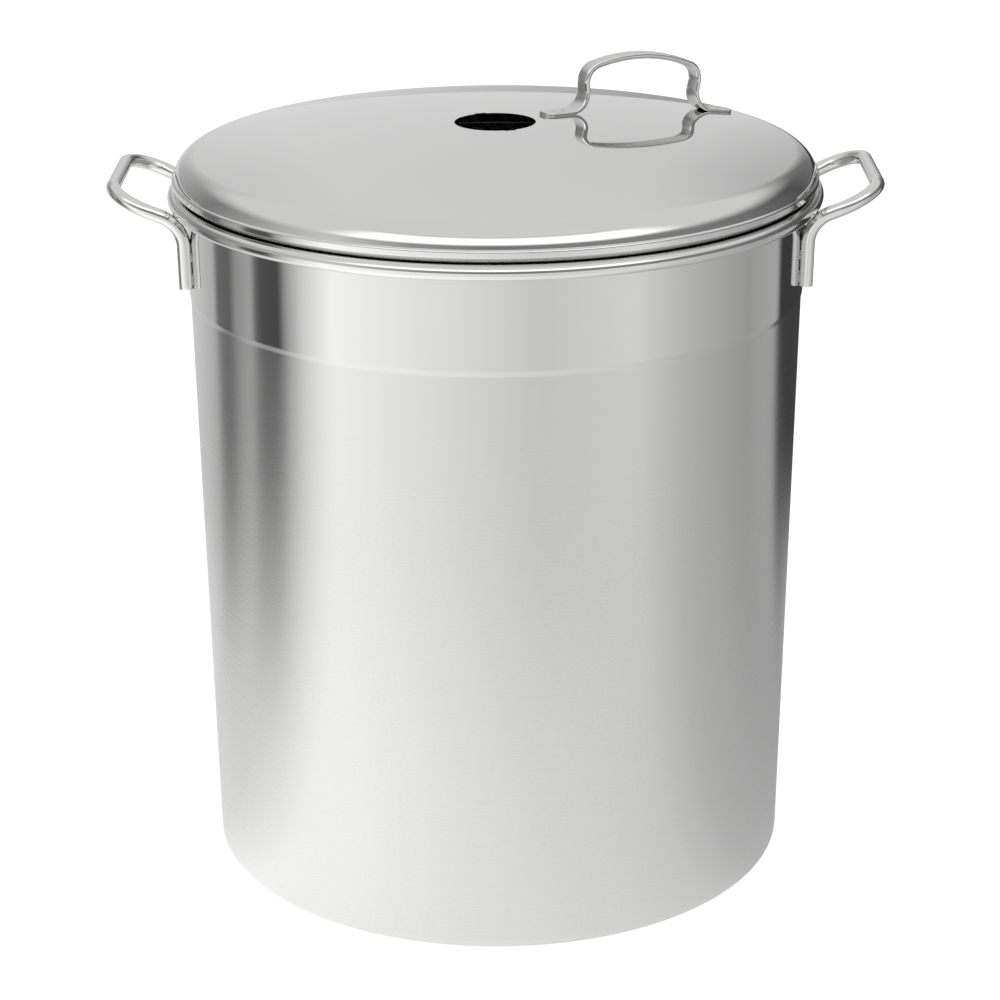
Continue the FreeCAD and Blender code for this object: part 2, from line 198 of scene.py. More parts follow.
def lathe(name, loop, materials, finish_of, first_radius=None):
    """Turns a closed loop of (radius, height, move, side) into a shell round Z.

    first_radius(angle) moves the loop's two inner ends, for the port's edge.
    """
    closed_on_axis = loop[0][0] < 1.0e-6
    points = []
    rings = []
    for index, (radius, height, _, _) in enumerate(loop):
        if closed_on_axis and radius < 1.0e-6:
            rings.append([len(points)] * AROUND)
            points.append((0.0, 0.0, height))
            continue
        rings.append(range(len(points), len(points) + AROUND))
        for i in range(AROUND):
            angle = 360.0 * i / AROUND
            r = radius
            if first_radius and index in (0, len(loop) - 1):
                r = first_radius(angle)
            points.append((r * cosine(angle), r * sine(angle), height))
    faces = []
    finish = []
    last = len(loop) if not closed_on_axis else len(loop) - 1
    for index in range(last):
        lower, upper = rings[index], rings[(index + 1) % len(loop)]
        choice = finish_of(loop[(index + 1) % len(loop)])
        for i in range(AROUND):
            j = (i + 1) % AROUND
            corners = [lower[i], upper[i], upper[j], lower[j]]
            face = [c for k, c in enumerate(corners) if c != corners[k - 1]]
            faces.append(face)
            finish.append(choice)
    return make_mesh(name, points, faces, materials, finish)


def arc_path(points, radii, step):
    """Straight runs joined by tangent arcs, as (place, direction) along the path."""
    path = []
    here = points[0]
    for before, corner, after, radius in zip(points, points[1:], points[2:], radii):
        back = (before - corner).normalized()
        on = (after - corner).normalized()
        half_angle = back.angle(on) / 2.0
        setback = radius / math.tan(half_angle)
        first = corner + back * setback
        centre = corner + (back + on).normalized() * (radius / math.sin(half_angle))
        run = first - here
        for place in spaced(run.length, 4.0, 0.4):
            path.append((here + run.normalized() * place, run.normalized()))
        spoke = first - centre
        axis = spoke.cross(-back).normalized()
        sweep = math.pi - 2.0 * half_angle
        count = math.ceil(sweep * radius / step)
        for i in range(1, count):
            turned = Matrix.Rotation(sweep * i / count, 3, axis)
            path.append((centre + turned @ spoke, turned @ -back))
        here = corner + on * setback
    run = points[-1] - here
    for place in spaced(run.length, 1.0, 0.4):
        path.append((here + run.normalized() * place, run.normalized()))
    return path


# -------------------------------------------------------------------- materials
def node(tree, kind, **values):
    made = tree.nodes.new(kind)
    for key, value in values.items():
        if key.startswith("in_"):
            made.inputs[int(key[3:])].default_value = value
        else:
            setattr(made, key, value)
    return made


def joined(tree, made, *sources):
    for socket, source in enumerate(sources):
        if source is not None:
            tree.links.new(source, made.inputs[socket])
    return made


def maths(tree, operation, first, second=0.0, third=0.0):
    made = node(tree, "ShaderNodeMath", operation=operation)
    for socket, value in enumerate((first, second, third)):
        if isinstance(value, (int, float)):
            made.inputs[socket].default_value = value
        else:
            tree.links.new(value, made.inputs[socket])
    return made.outputs[0]


def ramp(tree, source, stops, interpolation="LINEAR"):
    made = node(tree, "ShaderNodeValToRGB")
    made.color_ramp.interpolation = interpolation
    elements = made.color_ramp.elements
    while len(elements) < len(stops):
        elements.new(0.5)
    for element, (place, level) in zip(elements, stops):
        element.position = place
        element.color = (level, level, level, 1.0)
    tree.links.new(source, made.inputs[0])
    return made.outputs[0]


def noise(tree, source, scale, detail=3.0, rough=0.55):
    made = node(tree, "ShaderNodeTexNoise", noise_dimensions="3D")
    made.inputs["Scale"].default_value = scale
    made.inputs["Detail"].default_value = detail
    made.inputs["Roughness"].default_value = rough
    tree.links.new(source, made.inputs["Vector"])
    return made.outputs["Fac"]


def stretched(tree, source, scale):
    made = node(tree, "ShaderNodeMapping")
    made.inputs["Scale"].default_value = scale
    tree.links.new(source, made.inputs["Vector"])
    return made.outputs["Vector"]


def steel(name, tone, rough, anisotropic=0.0, turn=0.0, grain=None, grain_bump=0.0,
          grain_rough=0.0, cloud=0.0, wave=0.0, rough_by_height=None):
    """Stainless steel: metal tone, grain lines, cloudy patches and a faint waviness.

    grain is the scale of the grain noise along x, y and z, per metre.
    rough_by_height is a list of (height in metres, factor) for the roughness.
    """
    material = bpy.data.materials.new(name)
    material.use_nodes = True
    tree = material.node_tree
    shader = tree.nodes["Principled BSDF"]
    shader.inputs["Metallic"].default_value = 1.0
    shader.inputs["Anisotropic"].default_value = anisotropic
    shader.inputs["Anisotropic Rotation"].default_value = turn
    place = node(tree, "ShaderNodeTexCoord").outputs["Object"]
    patches = noise(tree, place, 9.0, 4.0)
    tint = maths(tree, "MULTIPLY_ADD", patches, cloud, 1.0 - cloud / 2.0)
    roughness = maths(tree, "MULTIPLY_ADD", patches, rough * 0.25, rough * 0.875)
    height = None
    if grain:
        lines = noise(tree, stretched(tree, place, grain), 1.0, 2.0)
        fine = noise(tree, stretched(tree, place, [g * 3.1 for g in grain]), 1.0, 1.0)
        both = maths(tree, "ADD", maths(tree, "MULTIPLY", lines, 0.65),
                     maths(tree, "MULTIPLY", fine, 0.35))
        swing = maths(tree, "SUBTRACT", both, 0.5)
        roughness = maths(tree, "MULTIPLY_ADD", swing, grain_rough, roughness)
        tint = maths(tree, "MULTIPLY_ADD", swing, grain_rough * 0.7, tint)
        height = maths(tree, "MULTIPLY", both, grain_bump)
    if wave:
        rolling = noise(tree, stretched(tree, place, (1.0, 1.0, 0.6)), 16.0, 1.0)
        swell = maths(tree, "MULTIPLY", rolling, wave)
        height = swell if height is None else maths(tree, "ADD", height, swell)
    if rough_by_height:
        low, high = rough_by_height[0][0], rough_by_height[-1][0]
        split = node(tree, "ShaderNodeSeparateXYZ")
        tree.links.new(place, split.inputs[0])
        share = maths(tree, "DIVIDE", maths(tree, "SUBTRACT", split.outputs[2], low),
                      high - low)
        top = max(f for _, f in rough_by_height)
        stops = [((h - low) / (high - low), f / top) for h, f in rough_by_height]
        factor = ramp(tree, share, stops)
        roughness = maths(tree, "MULTIPLY", maths(tree, "MULTIPLY", roughness, factor), top)
    colour = node(tree, "ShaderNodeMix", data_type="RGBA", blend_type="MULTIPLY")
    colour.inputs[0].default_value = 1.0
    colour.inputs[6].default_value = (*tone, 1.0)
    tree.links.new(tint, colour.inputs[7])
    tree.links.new(colour.outputs[2], shader.inputs["Base Color"])
    tree.links.new(roughness, shader.inputs["Roughness"])
    if anisotropic:
        tangent = node(tree, "ShaderNodeTangent", direction_type="RADIAL", axis="Z")
        tree.links.new(tangent.outputs[0], shader.inputs["Tangent"])
    if height is not None:
        bump = node(tree, "ShaderNodeBump")
        bump.inputs["Strength"].default_value = 1.0
        bump.inputs["Distance"].default_value = 1.0
        tree.links.new(height, bump.inputs["Height"])
        tree.links.new(bump.outputs[0], shader.inputs["Normal"])
    return material


NEUTRAL = (0.70, 0.70, 0.695)
POLISHED = (0.76, 0.76, 0.755)
ROUND_GRAIN = (6.0, 6.0, 1500.0)              # long lines round the pot
wall_satin = steel("wall_satin", NEUTRAL, 0.25, 0.85, 0.25, ROUND_GRAIN, 2.0e-6, 0.14,
                   cloud=0.05, wave=2.0e-4,
                   rough_by_height=[(0.0, 1.1), (0.30, 1.1), (0.39, 1.0), (0.437, 0.9)])
band_polished = steel("band_polished", NEUTRAL, 0.075, 0.5, 0.25, ROUND_GRAIN, 6.0e-7,
                      0.03, cloud=0.03, wave=1.5e-4)
rim_polished = steel("rim_polished", POLISHED, 0.10, grain=ROUND_GRAIN, grain_rough=0.02,
                     cloud=0.03)
inside_satin = steel("inside_satin", NEUTRAL, 0.34, 0.6, 0.25, ROUND_GRAIN, 2.0e-6, 0.08,
                     cloud=0.05)
lid_satin = steel("lid_satin", POLISHED, 0.04, grain=(40.0, 40.0, 40.0),
                  grain_rough=0.01, cloud=0.02, wave=6.0e-5)
lid_inside = steel("lid_inside", NEUTRAL, 0.22, grain=(60.0, 60.0, 60.0), grain_rough=0.03,
                   cloud=0.03)
tube_polished = steel("tube_polished", POLISHED, 0.13, grain=(90.0, 90.0, 90.0),
                      grain_rough=0.05, cloud=0.04, wave=1.2e-4)
strap_face = steel("strap_face", NEUTRAL, 0.24, grain=(120.0, 700.0, 120.0),
                   grain_bump=1.0e-6, grain_rough=0.05, cloud=0.05)
strap_edge = steel("strap_edge", POLISHED, 0.12, grain=(90.0, 90.0, 90.0),
                   grain_rough=0.04, cloud=0.04)
weld_metal = steel("weld_metal", (0.50, 0.49, 0.475), 0.34, grain=(900.0, 900.0, 900.0),
                   grain_bump=1.2e-4, grain_rough=0.25, cloud=0.15)


# ------------------------------------------------------------------------- pot
WALL_HEADING = 90.0 - WALL_DRAFT
ROLL_MIDDLE = ROLL_RADIUS - SHEET / 2.0
FLARE_START_RADIUS = MOUTH_RADIUS + SHEET / 2.0
FLARE_HEADING = math.degrees(math.asin(
    (FLARE_START_RADIUS + FLARE_RADIUS * sine(WALL_HEADING) - ROLL_CENTRE_RADIUS)
    / (FLARE_RADIUS - ROLL_MIDDLE)))
FLARE_START_HEIGHT = (RIM_HEIGHT + FLARE_RADIUS * cosine(WALL_HEADING)
                      - (FLARE_RADIUS - ROLL_MIDDLE) * cosine(FLARE_HEADING))


def wall_radius(height, offset=0.0):
    lean = math.tan(math.radians(WALL_DRAFT))
    return FLARE_START_RADIUS - (FLARE_START_HEIGHT - height) * lean + offset


def make_pot():
    corner = BASE_CORNER_RADIUS - SHEET / 2.0
    corner_height = SHEET / 2.0 + corner
    base_run = wall_radius(corner_height, -STEP_DEPTH) - corner / cosine(WALL_DRAFT)
    slope = (STEP_DEPTH - 2.0 * STEP_BEND * (1.0 - cosine(STEP_ANGLE))) / sine(STEP_ANGLE)
    half_step = STEP_BEND * sine(STEP_ANGLE) + slope * cosine(STEP_ANGLE) / 2.0
    step_height = RIM_HEIGHT - STEP_DROP
    corner_top = corner_height - corner * cosine(WALL_HEADING)
    line = bent_line(
        (0.0, SHEET / 2.0), 0.0,
        [("run", base_run),
         ("bend", corner, WALL_HEADING),
         ("run", (step_height - half_step - corner_top) / cosine(WALL_DRAFT)),
         ("bend", STEP_BEND, -STEP_ANGLE),
         ("run", slope),
         ("bend", STEP_BEND, STEP_ANGLE),
         ("run", (FLARE_START_HEIGHT - step_height - half_step) / cosine(WALL_DRAFT)),
         ("bend", FLARE_RADIUS, FLARE_HEADING - WALL_HEADING),
         ("bend", ROLL_MIDDLE, -ROLL_TURN)])

    def finish_of(here):
        move, side = here[2], here[3]
        if move >= 7:
            return 2
        if side == 0:
            return 3
        return 1 if move >= 5 else 0

    loop = sheet_loop(line, SHEET)
    return lathe("pot_shell", loop, [wall_satin, band_polished, rim_polished, inside_satin],
                 finish_of)


# ------------------------------------------------------------------------- lid
HEM_MIDDLE = HEM_CORNER_RADIUS - SHEET / 2.0
HEM_CENTRE_RADIUS = LID_RADIUS - HEM_CORNER_RADIUS
HEM_END_RADIUS = HEM_CENTRE_RADIUS + HEM_MIDDLE * sine(SEAT_ANGLE)
SEAT_OFFSET = ROLL_RADIUS + SEAT_CLEARANCE + SHEET / 2.0
HEM_END_HEIGHT = RIM_HEIGHT + (
    (SEAT_OFFSET + sine(SEAT_ANGLE) * (HEM_END_RADIUS - ROLL_CENTRE_RADIUS))
    / cosine(SEAT_ANGLE))
HEM_HIGH = HEM_END_HEIGHT + HEM_MIDDLE * cosine(SEAT_ANGLE) + HEM_BAND
DOME_CENTRE_HEIGHT = HEM_HIGH - HEM_BAND / 2.0 + DOME_RISE - DOME_RADIUS


def port_edge_radius(angle):
    """Radius of the port's edge, with a notch at one angle and another opposite."""
    off = (angle - PORT_NOTCH_ANGLE + 90.0) % 180.0 - 90.0
    half_width = math.degrees(math.asin(PORT_NOTCH_WIDTH / 2.0 / PORT_RADIUS))
    if abs(off) > half_width:
        return PORT_RADIUS
    return (PORT_RADIUS + PORT_NOTCH_DEPTH) / cosine(off)


def make_lid():
    half = SHEET / 2.0
    dome = DOME_RADIUS - half
    shoulder = SHOULDER_RADIUS - half
    crease = CREASE_RADIUS + half
    shoulder_radius = LID_RADIUS - HEM_PROUD - SHOULDER_RADIUS
    dome_edge = math.degrees(math.asin(shoulder_radius / (DOME_RADIUS - SHOULDER_RADIUS)))
    shoulder_height = (DOME_CENTRE_HEIGHT
                       + (DOME_RADIUS - SHOULDER_RADIUS) * cosine(dome_edge))
    run_x = shoulder_radius - HEM_CENTRE_RADIUS
    run_z = shoulder_height - HEM_HIGH
    near, far, apart = HEM_MIDDLE + crease, shoulder + crease, math.hypot(run_x, run_z)
    opening = math.degrees(math.acos((apart ** 2 + near ** 2 - far ** 2) / (2 * apart * near)))
    hem_start = math.degrees(math.atan2(run_z, run_x)) % 360.0 - opening
    crease_radius = HEM_CENTRE_RADIUS + near * cosine(hem_start)
    crease_height = HEM_HIGH + near * sine(hem_start)
    shoulder_end = math.degrees(math.atan2(crease_height - shoulder_height,
                                           crease_radius - shoulder_radius))
    port_edge = math.degrees(math.asin(PORT_RADIUS / dome))
    spigot_radius = MOUTH_RADIUS - SPIGOT_CLEARANCE - half
    cone_end = spigot_radius + SPIGOT_BEND * (1.0 - sine(SEAT_ANGLE))
    line = bent_line(
        (PORT_RADIUS, DOME_CENTRE_HEIGHT + dome * cosine(port_edge)), -port_edge,
        [("bend", dome, port_edge - dome_edge),
         ("bend", shoulder, dome_edge - (90.0 - shoulder_end)),
         ("bend", crease, hem_start - shoulder_end),
         ("bend", HEM_MIDDLE, -hem_start),
         ("run", HEM_BAND),
         ("bend", HEM_MIDDLE, SEAT_ANGLE - 90.0),
         ("run", (HEM_END_RADIUS - cone_end) / cosine(SEAT_ANGLE)),
         ("bend", SPIGOT_BEND, 90.0 - SEAT_ANGLE),
         ("run", SPIGOT_DEPTH)])
    # The port's edge moves with its notches, so a ring just outside them stays round.
    clear = PORT_RADIUS + PORT_NOTCH_DEPTH + 0.5
    line = line[:1] + [p for p in line[1:] if p[0] > clear]

    def finish_of(here):
        move, side = here[2], here[3]
        if side == 1:
            return 2
        return 0 if move <= 1 else 1

    return lathe("lid_shell", sheet_loop(line, SHEET), [lid_satin, rim_polished, lid_inside],
                 finish_of, port_edge_radius)


# ---------------------------------------------------------------- side handles
ELBOW_HEIGHT = RIM_HEIGHT - ROLL_RADIUS - TUBE_RADIUS - ELBOW_CLEARANCE
FOOT_HEIGHT = ELBOW_HEIGHT - LEG_LENGTH


def leg_place(height, side, end):
    radius = wall_radius(height, SHEET / 2.0) + TUBE_RADIUS - LEG_SEAT
    return Vector((side * radius * cosine(LEG_ANGLE), end * radius * sine(LEG_ANGLE), height))


def make_side_handle(name, side):
    """A bent tube with open ends, its legs pressed flat against the wall."""
    grip_x = side * (RIM_RADIUS + GRIP_REACH)
    grip_z = RIM_HEIGHT + GRIP_LIFT
    corners = [leg_place(FOOT_HEIGHT, side, -1),
               leg_place(ELBOW_HEIGHT, side, -1),
               Vector((grip_x, -GRIP_HALF_WIDTH, grip_z)),
               Vector((grip_x, GRIP_HALF_WIDTH, grip_z)),
               leg_place(ELBOW_HEIGHT, side, 1),
               leg_place(FOOT_HEIGHT, side, 1)]
    path = arc_path(corners, [ELBOW_BEND, GRIP_BEND, GRIP_BEND, ELBOW_BEND], 1.2)
    round_count = TUBE_AROUND
    normal = Vector((corners[0].x, corners[0].y, 0.0)).normalized()
    frames = []
    for place, along in path:
        normal = (normal - along * normal.dot(along)).normalized()
        frames.append((place, along, normal, along.cross(normal)))
    bevel_steps = [(0.0, 0.0), (0.3, 0.08), (0.7, 0.3), (1.0, 1.0)]
    sections = []
    first = frames[0]
    for share, back in bevel_steps:
        radius = TUBE_RADIUS - TUBE_BEVEL * (1.0 - share)
        sections.append((first[0] + first[1] * TUBE_BEVEL * back, first, radius))
    for made in frames[2:-2]:
        sections.append((made[0], made, TUBE_RADIUS))
    final = frames[-1]
    for share, back in bevel_steps[::-1]:
        radius = TUBE_RADIUS - TUBE_BEVEL * (1.0 - share)
        sections.append((final[0] - final[1] * TUBE_BEVEL * back, final, radius))
    bore = TUBE_RADIUS - TUBE_WALL
    for made in frames[::-1]:
        sections.append((made[0], made, bore))
    points = []
    for centre, (_, _, normal, binormal), radius in sections:
        for i in range(round_count):
            angle = 360.0 * i / round_count
            point = centre + (normal * cosine(angle) + binormal * sine(angle)) * radius
            wall = wall_radius(point.z, SHEET / 2.0)
            reach = math.hypot(point.x, point.y)
            if reach < wall and point.z < FLARE_START_HEIGHT:
                point.x *= wall / reach
                point.y *= wall / reach
            points.append(tuple(point))
    faces = []
    count = len(sections)
    for k in range(count):
        for i in range(round_count):
            j = (i + 1) % round_count
            a, b = k * round_count, (k + 1) % count * round_count
            faces.append([a + i, a + j, b + j, b + i])
    return make_mesh(name, points, faces, [tube_polished], sharp=50.0)


def make_bead(points, faces, start, along, outward, length, width, seed):
    """One uneven weld bead: a half-round ridge of overlapping ripples."""
    dice = random.Random(seed)
    rows, columns = 26, 9
    across = along.cross(outward).normalized()
    base = len(points)
    wobble = [dice.uniform(-1.0, 1.0) for _ in range(rows)]
    for i in range(rows):
        share = i / (rows - 1)
        swell = math.sin(math.pi * share) ** 0.4
        ripple = 1.0 + 0.16 * math.sin(share * 21.0) + 0.10 * wobble[i]
        radius = max(0.02, width * swell * ripple)
        centre = start + along * (share - 0.5) * length + across * 0.12 * wobble[i - 1]
        for j in range(columns):
            angle = 180.0 * j / (columns - 1)
            offset = across * cosine(angle) + outward * sine(angle) * 0.8
            points.append(tuple(centre + offset * radius))
    for i in range(rows - 1):
        for j in range(columns - 1):
            a = base + i * columns + j
            faces.append([a, a + 1, a + columns + 1, a + columns])
    rim = [base + i * columns for i in range(rows)]
    far = [base + i * columns + columns - 1 for i in range(rows)]
    for i in range(rows - 1):
        faces.append([rim[i], rim[i + 1], far[i + 1], far[i]])
    faces.append([base + j for j in range(columns)][::-1])
    faces.append([base + (rows - 1) * columns + j for j in range(columns)])


def make_leg_welds(name, side):
    """Beads between legs and wall, and the marks the welds leave inside the pot."""
    points, faces = [], []
    for end in (-1, 1):
        for number, rise in enumerate(LEG_WELD_HEIGHTS):
            height = FOOT_HEIGHT + rise
            outward = Vector((side * cosine(LEG_ANGLE), end * sine(LEG_ANGLE), 0.0))
            around = Vector((-outward.y, outward.x, 0.0))
            lean = Vector((0.0, 0.0, 1.0)) + outward * math.tan(math.radians(WALL_DRAFT))
            for flank in (-1, 1):
                touch = outward * wall_radius(height, SHEET / 2.0) + around * flank * 2.3
                facing = (outward + around * flank * 1.2).normalized()
                make_bead(points, faces, touch + Vector((0, 0, height - 2.0)),
                          lean.normalized(), facing, 9.0 - 2.0 * number, 0.75,
                          seed=7 + number + 2 * flank + 5 * end + 11 * side)
            disc_centre = outward * (wall_radius(height, -SHEET / 2.0)) + Vector((0, 0, height))
            make_mark(points, faces, disc_centre, -outward, 2.4, 0.22)
    return make_mesh(name, points, faces, [weld_metal], sharp=60.0)


def make_mark(points, faces, centre, facing, radius, proud):
    """A low round weld mark with a raised ring, lying on a surface."""
    rings = [(0.0, 0.35), (0.35, 0.4), (0.6, 0.75), (0.78, 1.0), (0.92, 0.55), (1.0, -0.3)]
    side_way = facing.orthogonal().normalized()
    up_way = facing.cross(side_way)
    count = 28
    base = len(points)
    points.append(tuple(centre + facing * proud * rings[0][1]))
    for share, rise in rings[1:]:
        for i in range(count):
            angle = 360.0 * i / count
            uneven = 1.0 + 0.05 * sine(3.0 * angle + radius * 90.0)
            spoke = side_way * cosine(angle) + up_way * sine(angle)
            points.append(tuple(centre + spoke * radius * share * uneven
                                + facing * proud * rise))
    for i in range(count):
        j = (i + 1) % count
        faces.append([base, base + 1 + i, base + 1 + j])
        for ring in range(len(rings) - 2):
            a, b = base + 1 + ring * count, base + 1 + (ring + 1) * count
            faces.append([a + i, b + i, b + j, a + j])
    last = base + 1 + (len(rings) - 2) * count
    faces.append([last + i for i in range(count)][::-1])


# ----------------------------------------------------------------- lid handle
def strap_line():
    """Middle line of half the strap, from the top of the arch to the tip of a foot.

    With it come the places where its section changes: (length from the tip, share),
    where share is 0 in the round bar and 1 in the flat foot.
    """
    half = FOOT_THICKNESS / 2.0
    arch_turn = math.degrees(math.asin((STRAP_HALF_SPAN - STRAP_CORNER_RADIUS)
                                       / (STRAP_ARCH_RADIUS - STRAP_CORNER_RADIUS)))
    foot_middle = STRAP_HALF_SPAN + STRAP_HEEL_RADIUS + FOOT_LENGTH / 2.0
    foot_slope = math.degrees(math.asin(foot_middle / DOME_RADIUS))
    leg_heading = 270.0 + STRAP_NECK_ANGLE
    foot_heading = 180.0 + foot_slope
    reach = STRAP_ARCH_RADIUS - STRAP_CORNER_RADIUS
    x = -reach * sine(arch_turn) + STRAP_CORNER_RADIUS * sine(leg_heading)
    z = (STRAP_HEIGHT - STRAP_ARCH_RADIUS + reach * cosine(arch_turn)
         - STRAP_CORNER_RADIUS * cosine(leg_heading))
    x += STRAP_HEEL_RADIUS * (sine(leg_heading) - sine(foot_heading))
    z += STRAP_HEEL_RADIUS * (cosine(foot_heading) - cosine(leg_heading))
    above_dome = -x * sine(foot_slope) + (z + DOME_RADIUS) * cosine(foot_slope)
    excess = above_dome - (DOME_RADIUS + half - FOOT_BEDDING)
    leg_run = excess / cosine(foot_slope - STRAP_NECK_ANGLE)
    heel_top = FOOT_LENGTH + math.radians(leg_heading - foot_heading) * STRAP_HEEL_RADIUS
    changes = [(0.0, 1.0), (FOOT_LENGTH - FOOT_FLARE, 1.0), (FOOT_LENGTH, 0.95),
               (heel_top, 0.1), (heel_top + leg_run, 0.0), (1000.0, 0.0)]
    line = bent_line((0.0, STRAP_HEIGHT), 180.0,
                     [("bend", STRAP_ARCH_RADIUS, arch_turn),
                      ("bend", STRAP_CORNER_RADIUS, 90.0 - arch_turn + STRAP_NECK_ANGLE),
                      ("run", leg_run),
                      ("bend", STRAP_HEEL_RADIUS, foot_heading - leg_heading),
                      ("run", FOOT_LENGTH)])
    return line, changes


def share_at(changes, place):
    for (near, near_share), (far, far_share) in zip(changes, changes[1:]):
        if place <= far:
            return near_share + (far_share - near_share) * (place - near) / (far - near)
    return 0.0


def on_the_lid():
    """From the strap's own place to its place on the dome."""
    lean = math.asin(STRAP_PLACE / DOME_RADIUS)
    return (Matrix.Translation((0, 0, DOME_CENTRE_HEIGHT))
            @ Matrix.Rotation(math.radians(STRAP_ANGLE), 4, "Z")
            @ Matrix.Rotation(lean, 4, "Y") @ Matrix.Translation((0, 0, DOME_RADIUS)))


def dense_line(line, step):
    """The same line with no piece longer than step."""
    dense = [line[0][:3]]
    for a, b in zip(line, line[1:]):
        count = max(1, math.ceil(math.hypot(b[0] - a[0], b[1] - a[1]) / step))
        for i in range(1, count + 1):
            s = i / count
            dense.append(tuple(a[k] * (1.0 - s) + b[k] * s for k in range(3)))
    return dense


def section_points(half_width, share):
    """Round-edged section of the strap: (across, outward, is outer face)."""
    half = (BAR_THICKNESS + (FOOT_THICKNESS - BAR_THICKNESS) * share) / 2.0
    crown = BAR_CROWN + (FOOT_CROWN - BAR_CROWN) * share
    edge = min(BAR_ROUNDING + (FOOT_ROUNDING - BAR_ROUNDING) * share, half_width * 0.5)
    flat = half_width - edge
    outer = []
    for i in range(25):
        across = -flat + 2.0 * flat * i / 24
        outer.append((across, half - crown * (across / half_width) ** 2, True))
    brow = outer[0][1] - edge
    right, left = [], []
    for angle in (67.5, 45.0, 22.5, 0.0):
        right.append((flat + edge * cosine(angle), brow + edge * sine(angle), False))
        left.append((-flat - edge * cosine(angle), brow + edge * sine(angle), False))
    for angle in (0.0, -30.0, -60.0, -90.0):
        right.append((flat + edge * cosine(angle), -half + edge + edge * sine(angle), False))
        left.append((-flat - edge * cosine(angle), -half + edge + edge * sine(angle), False))
    return outer + right + left[::-1]


def make_strap():
    line, changes = strap_line()
    half_line = dense_line(line, STRAP_STEP)
    whole = [(-x, z, 360.0 - h) for x, z, h in half_line[:0:-1]] + half_line
    lengths = [0.0]
    for a, b in zip(whole, whole[1:]):
        lengths.append(lengths[-1] + math.hypot(b[0] - a[0], b[1] - a[1]))
    total = lengths[-1]
    tip = -half_line[-1][0]
    welds = [end * (tip - STRAP_WELD_INSET - k * STRAP_WELD_SPACING)
             for end in (-1, 1) for k in (0, 1)]
    place = on_the_lid()
    points, faces, finish = [], [], []
    rows = []
    for length, (x, z, heading) in zip(lengths, whole):
        from_tip = max(min(length, total - length), 0.03)
        share = share_at(changes, from_tip)
        half_width = (BAR_WIDTH + (FOOT_WIDTH - BAR_WIDTH) * share) / 2.0
        if from_tip < FOOT_CORNER_RADIUS:
            gone = FOOT_CORNER_RADIUS - from_tip
            half_width -= FOOT_CORNER_RADIUS - math.sqrt(FOOT_CORNER_RADIUS ** 2 - gone ** 2)
        row = []
        for across, out, outer in section_points(half_width, share):
            if outer:
                for weld in welds:
                    away = math.hypot(x - weld, across) / STRAP_WELD_RADIUS
                    if away < 1.6:
                        out -= WELD_DIMPLE * max(0.0, 1.0 - away ** 2) ** 0.5
                        out += 0.12 * math.exp(-((away - 1.15) / 0.2) ** 2)
            nx, nz = sine(heading), -cosine(heading)
            row.append(place @ Vector((x + nx * out, across, z + nz * out)))
        rows.append(row)
    size = len(rows[0])
    for row in rows:
        points += [tuple(p) for p in row]
    for k in range(len(rows) - 1):
        for i in range(size):
            j = (i + 1) % size
            a, b = k * size, (k + 1) * size
            faces.append([a + i, b + i, b + j, a + j])
            finish.append(0 if i < 24 else 1)
    last = (len(rows) - 1) * size
    faces.append([i for i in range(size)])
    faces.append([last + i for i in range(size)][::-1])
    finish += [1, 1]
    return make_mesh("lid_strap", points, faces, [strap_face, strap_edge], finish, sharp=50.0)


def make_strap_welds():
    """Crowned weld centres down in the strap's dimples, and marks under the lid."""
    points, faces = [], []
    tip = -strap_line()[0][-1][0]
    turn = Matrix.Rotation(math.radians(STRAP_ANGLE), 4, "Z")
    lean_out = math.asin(STRAP_PLACE / DOME_RADIUS)
    for end in (-1, 1):
        for inset in (STRAP_WELD_INSET, STRAP_WELD_INSET + STRAP_WELD_SPACING):
            lean = lean_out + math.asin(end * (tip - inset) / DOME_RADIUS)
            way = turn @ Vector((math.sin(lean), 0.0, math.cos(lean)))
            middle = Vector((0.0, 0.0, DOME_CENTRE_HEIGHT))
            top = DOME_RADIUS + FOOT_THICKNESS - WELD_DIMPLE - FOOT_BEDDING
            make_mark(points, faces, middle + way * top, way, STRAP_WELD_RADIUS * 0.5, 0.22)
            below = middle + way * (DOME_RADIUS - SHEET)
            make_mark(points, faces, below, -way, STRAP_WELD_RADIUS * 1.3, 0.2)
    return make_mesh("strap_spot_welds", points, faces, [weld_metal], sharp=60.0)


# ---------------------------------------------------------------- all pieces
def place_piece(piece, body, cad_node):
    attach(piece, body)
    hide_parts(cad_node)


place_piece(make_pot(), "pot", "kettle_body")
place_piece(make_lid(), "lid_body", "lid")
place_piece(make_strap(), "lid_body", "lid_handle")
place_piece(make_strap_welds(), "lid_body", "lid_handle_welds")
for way, label in ((-1, "left"), (1, "right")):
    handle_name = "side_handle_" + label
    place_piece(make_side_handle("grip_tube_" + label, way), "pot", handle_name)
    place_piece(make_leg_welds("leg_weld_beads_" + label, way), "pot",
                handle_name + "_welds")


# ----------------------------------------------------------------- studio
FLOOR_REACH = 40.0                            # metres each way
FLOOR_DROP = 0.0003                           # below the base, so that the two don't meet
FLOOR_PAINT = (0.30, 0.30, 0.30)
FLOOR_GLOW = 0.90                             # what the camera sees of the floor's light
FLOOR_FADE_REACH = 2.0                        # metres, the fade's places are shares of it
FLOOR_FADE = [(0.24, 0.0), (0.52, 1.0)]       # from the near levels to the far ones


